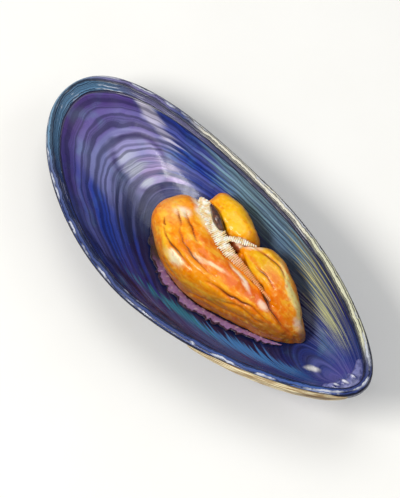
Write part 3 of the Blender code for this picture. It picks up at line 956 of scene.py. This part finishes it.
def wet_flesh_group():
    """Fine grain and shallow puckers of moist cooked flesh."""
    tree, given, result = new_tree("wet flesh", "ShaderNodeTree", {
        "Place": "Vector", "Grain": 2.2, "Pucker": 0.8}, {"Height": "Float", "Grain": "Float"})
    grain = cloud(tree, given["Place"], given["Grain"], 5.0)
    values = {"Vector": given["Place"], "Scale": given["Pucker"], "Smoothness": 0.7}
    cells = node(tree, "ShaderNodeTexVoronoi", values, feature="SMOOTH_F1").outputs["Distance"]
    tree.links.new(calc(tree, "MULTIPLY", calc(tree, "ADD", grain, cells), 0.5), result["Height"])
    tree.links.new(grain, result["Grain"])
    return tree


WET_FLESH = wet_flesh_group()


def wet_flesh(tree, place, grain, pucker):
    """The relief of moist flesh, and its grain."""
    made = group(tree, WET_FLESH, {"Place": place, "Grain": grain, "Pucker": pucker})
    return made["Height"], made["Grain"]


def meat_finish():
    """Orange flesh with pale and amber patches and painted highlights, and painted shade down its sides and
    in its creases.
    """
    made, tree = new_material("cooked meat", {
        "Coat Weight": 0.32, "Coat Roughness": 0.07, "Specular IOR Level": 0.18,
        "Subsurface Weight": 0.05, "Subsurface Scale": 0.0008, "Subsurface Radius": (1.0, 0.45, 0.12)})
    place = chart(tree)
    height, grain = wet_flesh(tree, place, 1.6, 0.9)
    color = add_patches(tree, tint(247, 150, 0), place, MEAT_TONES_AND_HIGHLIGHTS)
    fibre = cloud(tree, vector_calc(tree, "MULTIPLY", place, (0.3, 1.3, 1.0)), 0.8, 4.0)
    color = lay(tree, color, (255, 206, 52), ramp(tree, fibre, 0.52, 0.66), 0.5)
    color = lay(tree, color, (224, 96, 0), ramp(tree, fibre, 0.47, 0.34), 0.6)
    # Painted shade: darker orange-brown lower down the lobes
    color = lay(tree, color, (176, 88, 10), ramp(tree, axis(tree, place, "Z"), -3.0, -7.5), 0.65)
    color = lay(tree, color, (252, 214, 110), ramp(tree, grain, 0.5, 0.8), 0.5)
    color = lay(tree, color, (214, 98, 0), ramp(tree, grain, 0.48, 0.25), 0.4)
    crease = stored(tree, "crease")
    # Painted shade in the creases: deep orange, darkest brown at their bottoms
    color = lay(tree, color, (196, 84, 0), ramp(tree, crease, 0.1, 0.6), 0.6)
    color = lay(tree, color, (70, 32, 12), ramp(tree, crease, 0.55, 0.95), 0.85)
    return dress(made, color, height, 0.35, ramp(tree, grain, 0.3, 0.7, 0.28, 0.46), 0.0003)


def rest_on_nacre(points, gap):
    """Keeps points above the bowl by the gap."""
    floor = gap - bowl_depth(points[:, 0], points[:, 1])
    points[:, 2] = np.maximum(points[:, 2], floor)
    return points


def make_meat():
    lobes = (HINGE_LOBE, GAPE_LOBE, FRONT_LOBE, GILL_BED)
    piece = make_lobes("meat_lobes", lobes, MEAT_VOXEL, 6, meat_finish())
    mesh = piece.data
    points, normals = read_points(mesh), point_normals(mesh)
    facing_up = np.clip((normals[:, 2] + 0.1) / 0.5, 0, 1)
    crease = np.zeros(len(points))
    press = np.zeros(len(points))
    sway = np.stack([wrinkle(points, SWAY_SIZE, seed) for seed in (11.0, 17.0)], axis=1)
    for width, depth, line in CREASES:
        away, along = distance_to(line, points[:, :2] / MM + CREASE_SWAY * sway)
        fade = np.sin(np.pi * np.clip(along, 0.01, 0.99)) ** 0.5
        valley = np.exp(-(away / (width * (0.45 + 0.55 * fade))) ** 2) * fade
        shoulder = np.exp(-((away - SHOULDER_PLACE * width) / (SHOULDER_WIDTH * width)) ** 2) * fade
        press += depth * MM * (SHOULDER_HEIGHT * shoulder - valley) * facing_up
        crease = np.maximum(crease, valley * facing_up)
    upright = np.clip((0.62 - np.abs(normals[:, 2])) / 0.3, 0, 1)
    level = points[:, 2] / MM + FOLD_WANDER * wrinkle(points * (1, 1, 0.25), FOLD_SIZE, 23.0)
    broken = np.clip(0.2 + 2.2 * wrinkle(points, FOLD_SIZE, 29.0), 0, 1)
    for below_rim, width, depth in SIDE_FOLDS:
        valley = np.exp(-((level - below_rim) / width) ** 2) * upright * broken
        press -= depth * MM * valley
        crease = np.maximum(crease, 0.5 * valley)
    for height, size, seed in PUCKERS:
        press += height * MM * wrinkle(points, size, seed)
    write_points(mesh, rest_on_nacre(points + normals * press[:, None], MEAT_CLEARANCE))
    put_attribute(mesh, "crease", crease)
    return piece


meat = make_meat()


# Gills
# Two combs of soft pale filaments that lie side by side in the slit between the lobes. Each
# filament is a thin cord laid across the slit and pressed down on the flesh under it.
GILL_PATCHES = (((226, 140, 40), 9.5, 2.0, 5.0, 1.6, -10, 0.5, 0.85),)
# Places along each comb: x, y, half the comb's width and the level that it hangs at, in millimetres
GILL_PATHS = (
    ((-6.0, 6.3, 0.25, -3.2), (-5.0, 5.8, 0.8, -2.5), (-3.6, 5.1, 1.2, -2.0), (-1.6, 4.2, 1.3, -1.7),
     (1.0, 3.2, 1.15, -1.8), (3.6, 2.5, 0.85, -2.1), (6.8, 2.3, 0.55, -2.6), (10.0, 2.0, 0.35, -3.2),
     (12.8, 1.6, 0.12, -4.2)),
    ((2.0, 3.9, 0.4, -2.0), (3.2, 4.5, 0.55, -1.7), (4.5, 5.1, 0.45, -1.8), (5.8, 5.9, 0.12, -2.3)),
)


def spot(tree):
    """Where each point is, inside Geometry Nodes."""
    return socket(tree, "GeometryNodeInputPosition")


def store(tree, geometry, name, value, data_type="FLOAT"):
    """Stores a value for each point of a shape, inside Geometry Nodes."""
    values = {"Geometry": geometry, "Name": name, "Value": value}
    return socket(tree, "GeometryNodeStoreNamedAttribute", values, data_type=data_type, domain="POINT")


def scatter(tree, reach, seed):
    """A random vector for each point, as far as the reach each way."""
    values = {
        "Min": tuple(-side for side in reach), "Max": reach, "Seed": seed,
        "ID": socket(tree, "GeometryNodeInputIndex")}
    return socket(tree, "FunctionNodeRandomValue", values, data_type="FLOAT_VECTOR")


def gill_tree():
    """Filaments across the line of a comb, laid down on the flesh from above."""
    tree, given, result = new_shape_tree("gill filaments", {
        "Flesh": "Object", "Spacing": 0.00029, "Points": 11, "Filament Radius": 0.00016,
        "Lift": 0.00014, "Unevenness": 0.00002, "Shortest": 0.84, "Longest": 1.08, "Askew": 0.07,
        "Seed": 5})
    path = socket(tree, "GeometryNodeMeshToCurve", {"Mesh": given["Geometry"]})
    path = socket(tree, "GeometryNodeResampleCurve", {"Curve": path, "Length": given["Spacing"]},
                  mode="LENGTH")
    across = socket(tree, "GeometryNodeCurvePrimitiveLine", {
        "Start": (-1.0, 0.0, 0.0), "End": (1.0, 0.0, 0.0)})
    across = socket(tree, "GeometryNodeResampleCurve", {"Curve": across, "Count": given["Points"]})
    across = store(tree, across, "side", axis(tree, spot(tree), "X"))
    skew = vector_calc(tree, "MULTIPLY", scatter(tree, (1.0, 1.0, 0.0), given["Seed"]), given["Askew"])
    tangent = vector_calc(tree, "ADD", socket(tree, "GeometryNodeInputTangent"), skew)
    turned = socket(tree, "FunctionNodeAlignRotationToVector", {"Vector": tangent},
                    axis="Y", pivot_axis="Z")
    share = node(tree, "FunctionNodeRandomValue", {
        2: given["Shortest"], 3: given["Longest"], "Seed": given["Seed"],
        "ID": socket(tree, "GeometryNodeInputIndex")}, data_type="FLOAT").outputs[1]
    span = vector_of(tree, calc(tree, "MULTIPLY", named(tree, "span"), share), 1.0, 1.0)
    combs = socket(tree, "GeometryNodeInstanceOnPoints", {
        "Points": path, "Instance": across, "Rotation": turned, "Scale": span})
    combs = socket(tree, "GeometryNodeRealizeInstances", {"Geometry": combs})

    high_above = 0.01
    place, level = spot(tree), named(tree, "level")
    flesh = node(tree, "GeometryNodeObjectInfo", {"Object": given["Flesh"]}).outputs["Geometry"]
    cast = node(tree, "GeometryNodeRaycast", {
        "Target Geometry": flesh,
        "Source Position": vector_calc(tree, "ADD", place, (0.0, 0.0, high_above)),
        "Ray Direction": (0.0, 0.0, -1.0), "Ray Length": 3 * high_above}).outputs
    bow = calc(tree, "POWER", calc(tree, "ABSOLUTE", named(tree, "side")), 3.0)
    lift = calc(tree, "MULTIPLY", calc(tree, "MULTIPLY_ADD", bow, -2.6, 1.0), given["Lift"])
    laid = calc(tree, "ADD", axis(tree, cast["Hit Position"], "Z"), lift)
    hung = calc(tree, "MAXIMUM", laid, level)
    hung = socket(tree, "ShaderNodeMix", {0: cast["Is Hit"], 2: level, 3: hung}, data_type="FLOAT")
    raised = vector_of(tree, axis(tree, place, "X"), axis(tree, place, "Y"), hung)
    spread = scatter(tree, (1.0, 1.0, 1.0), given["Seed"])
    jitter = vector_calc(tree, "MULTIPLY", spread, given["Unevenness"])
    combs = socket(tree, "GeometryNodeSetPosition", {
        "Geometry": combs, "Position": vector_calc(tree, "ADD", raised, jitter)})
    thin_end = calc(tree, "MULTIPLY_ADD", bow, -0.5, 1.0)
    combs = socket(tree, "GeometryNodeSetCurveRadius", {"Curve": combs, "Radius": thin_end})
    rim = socket(tree, "GeometryNodeCurvePrimitiveCircle", {
        "Resolution": 7, "Radius": given["Filament Radius"]})
    cords = socket(tree, "GeometryNodeCurveToMesh", {
        "Curve": combs, "Profile Curve": rim, "Scale": thin_end, "Fill Caps": True})
    return finish_tree(tree, cords, given, result)


def gill_finish():
    """Creamy filaments, amber where the comb runs out toward the beak."""
    made, tree = new_material("gill", {
        "Roughness": 0.4, "Coat Weight": 0.5, "Coat Roughness": 0.15, "Subsurface Weight": 0.2,
        "Subsurface Scale": 0.0008})
    place = chart(tree)
    height, grain = wet_flesh(tree, place, 1.4, 1.5)
    color = blend(tree, ramp(tree, grain, 0.35, 0.65), tint(236, 200, 140), tint(252, 246, 232))
    return dress(made, add_patches(tree, color, place, GILL_PATCHES), height, 0.3)


def path_mesh(name, points, lengths, attributes):
    """One or more open lines of points, for a tree to follow."""
    edges, first = [], 0
    for length in lengths:
        edges += [(point, point + 1) for point in range(first, first + length - 1)]
        first += length
    mesh = bpy.data.meshes.new(name)
    mesh.from_pydata(points.tolist(), edges, [])
    for label, values in attributes.items():
        put_attribute(mesh, label, values)
    return mesh


def make_gills():
    paths = [smooth_path(path, 6) * MM for path in GILL_PATHS]
    rows = np.concatenate(paths)
    points = np.stack([rows[:, 0], rows[:, 1], np.zeros(len(rows))], axis=1)
    attributes = {"span": rows[:, 2], "level": rows[:, 3]}
    mesh = path_mesh("gills", points, [len(path) for path in paths], attributes)
    return bake_nodes("gills", mesh, gill_tree(), {"Material": gill_finish(), "Flesh": meat})


gills = make_gills()
lay_down(gills, "meat")


# Foot
# The mussel's small dark tongue of firm muscle, shrunk by cooking. It grows from the body and
# pokes up out of the slit at the tail end of the gills.
FOOT_STATIONS = (
    (-0.0036, 0.0061, 0.00030, -0.0017),
    (-0.0024, 0.0056, 0.00055, -0.0009),
    (-0.0010, 0.0049, 0.00075, -0.0006),
    (0.0004, 0.0043, 0.00055, -0.0012),
)
FOOT_UNDERSIDE = -0.0048
FOOT_VOXEL = 0.00015


def foot_finish():
    made, tree = new_material("foot", {"Roughness": 0.35, "Coat Weight": 0.5, "Coat Roughness": 0.15})
    height, grain = wet_flesh(tree, chart(tree), 3.0, 2.5)
    color = blend(tree, ramp(tree, grain, 0.35, 0.7), tint(38, 22, 24), tint(104, 58, 34))
    return dress(made, color, height, 0.4)


foot = make_lobes("foot", (FOOT_STATIONS,), FOOT_VOXEL, 4, foot_finish(), FOOT_UNDERSIDE)
lay_down(foot, "meat")


# Mantle frill
# The mantle's loose outer edge, a thin lilac-brown ribbon that cooking has drawn into ruffles.
# It lies in the bowl along the foot of the hinge lobe, and a paler one edges the front lobe.
# Painted shade: the lilac frill turns dark brownish-olive toward its tail end
MANTLE_EDGE_SHADE = (
    ((38, 34, 44), -8.6, -0.6, 4.6, 3.4, -40, 0.4, 0.9),
    ((96, 78, 46), -7.0, -1.8, 1.6, 1.0, -40, 0.5, 0.6),
)
# Each frill's line along the nacre, in millimetres
FRILL_PATH = (
    (-10.2, 1.6), (-9.2, -0.5), (-6.6, -2.3), (-2.6, -4.0), (2.2, -4.5), (6.6, -3.6), (11.0, -2.3),
    (14.2, -1.3), (16.8, -0.4),
)
FRONT_FRILL_PATH = ((5.4, 7.0), (7.6, 7.7), (10.4, 7.0), (13.4, 5.5), (15.8, 4.0), (17.4, 3.0))


def frill_tree():
    """A ribbon along a line. It leans over and ruffles most at its free edge."""
    tree, given, result = new_shape_tree("mantle frill", {
        "Steps": 420, "Height": 0.0011, "Thickness": 0.00040, "Ruffles": 13.0,
        "Ruffle Depth": 0.00026, "Lean": 0.0017, "Seed": 2.0})
    path = socket(tree, "GeometryNodeMeshToCurve", {"Mesh": given["Geometry"]})
    path = socket(tree, "GeometryNodeResampleCurve", {"Curve": path, "Count": given["Steps"]})
    path = store(tree, path, "way", node(tree, "GeometryNodeSplineParameter").outputs["Factor"])
    tangent = socket(tree, "GeometryNodeInputTangent")
    aside = vector_calc(tree, "NORMALIZE", vector_calc(tree, "CROSS_PRODUCT", tangent, (0.0, 0.0, 1.0)))
    path = store(tree, path, "aside", aside, "FLOAT_VECTOR")
    flat = socket(tree, "GeometryNodeCurvePrimitiveCircle", {"Resolution": 18, "Radius": 1.0})
    rise = calc(tree, "MULTIPLY_ADD", axis(tree, spot(tree), "Y"), 0.5, 0.5)
    flat = store(tree, flat, "rise", rise)
    flat = store(tree, flat, "girth", axis(tree, spot(tree), "X"))
    tiny = 0.00001
    flat = socket(tree, "GeometryNodeTransform", {"Geometry": flat, "Scale": (tiny, tiny, tiny)})
    band = socket(tree, "GeometryNodeCurveToMesh", {
        "Curve": path, "Profile Curve": flat, "Fill Caps": True})

    along, up, out = named(tree, "way"), named(tree, "rise"), named(tree, "girth")
    ends = calc(tree, "SINE", calc(tree, "MULTIPLY", along, math.pi), clamp=True)
    ends = calc(tree, "POWER", ends, 0.4)
    drift = cloud_along(tree, calc(tree, "MULTIPLY_ADD", along, 6.0, given["Seed"]), 2.0)
    drift = calc(tree, "MULTIPLY", drift, 3.6)
    ruffles = calc(tree, "MULTIPLY_ADD", along, given["Ruffles"], drift)
    turns = calc(tree, "MULTIPLY", ruffles, 2 * math.pi)
    loose = calc(tree, "MULTIPLY", calc(tree, "POWER", up, 1.4), given["Ruffle Depth"])
    ruffle = calc(tree, "MULTIPLY", calc(tree, "SINE", turns), loose)
    leaning = calc(tree, "MULTIPLY_ADD", up, given["Lean"], ruffle)
    half_thick = calc(tree, "MULTIPLY", given["Thickness"], 0.5)
    outward = calc(tree, "MULTIPLY", calc(tree, "MULTIPLY_ADD", out, half_thick, leaning), ends)
    wave = calc(tree, "MULTIPLY_ADD", calc(tree, "COSINE", calc(tree, "MULTIPLY", turns, 0.5)), 0.1, 0.9)
    height = calc(tree, "MULTIPLY", calc(tree, "MULTIPLY", up, given["Height"]), wave)
    upward = vector_of(tree, 0.0, 0.0, calc(tree, "MULTIPLY", height, ends))
    sideways = vector_calc(tree, "MULTIPLY", named(tree, "aside", "FLOAT_VECTOR"), outward)
    band = socket(tree, "GeometryNodeSetPosition", {
        "Geometry": band, "Offset": vector_calc(tree, "ADD", sideways, upward)})
    return finish_tree(tree, band, given, result)


def frill_finish(name, body, edge, pale, patches):
    """A ribbon with a pale grain, and one darker shade along its free edge and its root."""
    made, tree = new_material(name, {
        "Roughness": 0.38, "Coat Weight": 0.5, "Coat Roughness": 0.14, "Subsurface Weight": 0.12,
        "Subsurface Scale": 0.0008})
    place = chart(tree)
    height, grain = wet_flesh(tree, place, 1.8, 1.6)
    color = lay(tree, tint(*body), pale, ramp(tree, grain, 0.5, 0.7), 0.8)
    uneven = calc(tree, "ADD", stored(tree, "rise"), swing(tree, grain, 0.5))
    color = lay(tree, color, edge, ramp(tree, uneven, 0.78, 0.92))
    color = lay(tree, color, edge, ramp(tree, uneven, 0.3, 0.1))
    return dress(made, add_patches(tree, color, place, patches), height, 0.4)


def make_frill(name, line, finish, values):
    path = smooth_path([(x * MM, y * MM) for x, y in line], 8)
    level = MEAT_CLEARANCE - bowl_depth(path[:, 0], path[:, 1])
    mesh = path_mesh(name, np.stack([path[:, 0], path[:, 1], level], axis=1), [len(path)], {})
    piece = bake_nodes(name, mesh, FRILL_TREE, {"Material": finish, **values})
    write_points(piece.data, rest_on_nacre(read_points(piece.data), MEAT_CLEARANCE))
    return piece


FRILL_TREE = frill_tree()
# The lilac frill takes painted shade toward its tail end
LILAC_EDGE = frill_finish(
    "mantle edge", (168, 132, 190), (46, 30, 56), (222, 204, 216), MANTLE_EDGE_SHADE)
frill = make_frill("mantle_frill", FRILL_PATH, LILAC_EDGE, {})
lay_down(frill, "meat")
YELLOW_EDGE = frill_finish("front mantle edge", (230, 206, 110), (120, 84, 34), (246, 236, 190), ())
front_frill = make_frill("front_frill", FRONT_FRILL_PATH, YELLOW_EDGE, {
    "Steps": 240, "Height": 0.0022, "Ruffles": 6.0, "Ruffle Depth": 0.00014, "Lean": -0.0004})
lay_down(front_frill, "meat")
lay_down(meat, "meat")


# Hinge plate
# The small shelf that closes the tip of the beak, dark blue and lilac, with a few short pale
# teeth that kept the two valves in line. It is part of the shell and as hard as it.
PLATE = (
    (0.0288, -0.0032, 0.0006, -0.0016),
    (0.0302, -0.0020, 0.0009, -0.0013),
    (0.0311, -0.0002, 0.0010, -0.0012),
    (0.0306, 0.0016, 0.0009, -0.0014),
    (0.0296, 0.0029, 0.0006, -0.0018),
)
TEETH = (
    ((0.0289, -0.0024, 0.00018, -0.0015), (0.0296, -0.0022, 0.00026, -0.0010),
     (0.0303, -0.0019, 0.00018, -0.0011)),
    ((0.0295, -0.0011, 0.00018, -0.0014), (0.0302, -0.0010, 0.00028, -0.0009),
     (0.0309, -0.0008, 0.00018, -0.0010)),
    ((0.0298, 0.0003, 0.00018, -0.0014), (0.0305, 0.0004, 0.00026, -0.0010),
     (0.0311, 0.0005, 0.00018, -0.0011)),
)
PLATE_UNDERSIDE = -0.0024
PLATE_VOXEL = 0.00012


def tooth_finish():
    """Mottled shelf, and pale teeth where it stands high."""
    made, tree = new_material("hinge plate", {
        "Roughness": 0.28, "Coat Weight": 0.3, "Coat Roughness": 0.15})
    place = chart(tree)
    mottle = cloud(tree, place, 1.3, 4.0)
    color = blend(tree, ramp(tree, mottle, 0.35, 0.65), tint(50, 56, 116), tint(120, 122, 176))
    color = lay(tree, color, (216, 216, 228), ramp(tree, axis(tree, place, "Z"), -1.2, -0.95), 0.9)
    return dress(made, color, mottle, 0.3)


hinge_plate = make_lobes("hinge_plate", (PLATE, *TEETH), PLATE_VOXEL, 2, tooth_finish(), PLATE_UNDERSIDE)
lay_down(hinge_plate, "shell")


# Table, lights and camera
# A plain pale table of painted board under soft studio light. The camera looks down at the part
# steeply, from its beak and hinge side.
FLOOR_SIZE = 3.0
CAMERA_AZIMUTH = math.radians(45.4)
CAMERA_ELEVATION = math.radians(65)
CAMERA_LENS = 200
CAMERA_DISTANCE = 0.400
AIM = Vector((0.0, 0.0, 0.009))
# Lights: name, place, size, watts and colour
LIGHTS = (
    ("key", (-0.14, -0.30, 0.40), 0.22, 1.9, (1.0, 0.98, 0.95)),
    ("fill", (0.34, 0.22, 0.34), 0.40, 0.5, (0.93, 0.96, 1.0)),
    ("top", (-0.10, 0.12, 0.55), 0.35, 0.7, (1.0, 1.0, 1.0)),
)
ROOM_COLOR = (0.95, 0.97, 1.0, 1.0)
ROOM_STRENGTH = 0.35


def make_table():
    shape = bmesh.new()
    bmesh.ops.create_grid(shape, x_segments=1, y_segments=1, size=FLOOR_SIZE / 2)
    mesh = bpy.data.meshes.new("table")
    shape.to_mesh(mesh)
    shape.free()
    made, tree = new_material("pale table", {"Roughness": 0.75})
    mottle = cloud(tree, node(tree, "ShaderNodeTexCoord").outputs["Object"], 60.0, 5.0)
    color = blend(tree, mottle, tint(240, 239, 234), tint(246, 245, 241))
    tree.links.new(color, tree.nodes["Principled BSDF"].inputs["Base Color"])
    new_object("table", mesh, made)


def make_lights():
    for name, place, size, watts, color in LIGHTS:
        lamp = bpy.data.lights.new(name, "AREA")
        lamp.shape = "DISK"
        lamp.size = size
        lamp.energy = watts
        lamp.color = color
        carrier = new_object(name, lamp)
        carrier.location = place
        carrier.rotation_euler = (AIM - Vector(place)).to_track_quat("-Z", "Y").to_euler()
    world = bpy.data.worlds.new("pale room")
    world.use_nodes = True
    background = world.node_tree.nodes["Background"].inputs
    background["Color"].default_value = ROOM_COLOR
    background["Strength"].default_value = ROOM_STRENGTH
    bpy.context.scene.world = world


def make_camera():
    lens = bpy.data.cameras.new("camera")
    lens.lens = CAMERA_LENS
    lens.clip_start = 0.02
    lens.clip_end = 20
    camera = new_object("camera", lens)
    flat = math.cos(CAMERA_ELEVATION)
    across, back = math.sin(CAMERA_AZIMUTH) * flat, math.cos(CAMERA_AZIMUTH) * flat
    toward = Vector((across, -back, math.sin(CAMERA_ELEVATION)))
    camera.location = AIM + toward * CAMERA_DISTANCE
    camera.rotation_euler = (-toward).to_track_quat("-Z", "Y").to_euler()
    bpy.context.scene.camera = camera


make_table()
make_lights()
make_camera()
bpy.context.scene.view_settings.view_transform = "Standard"
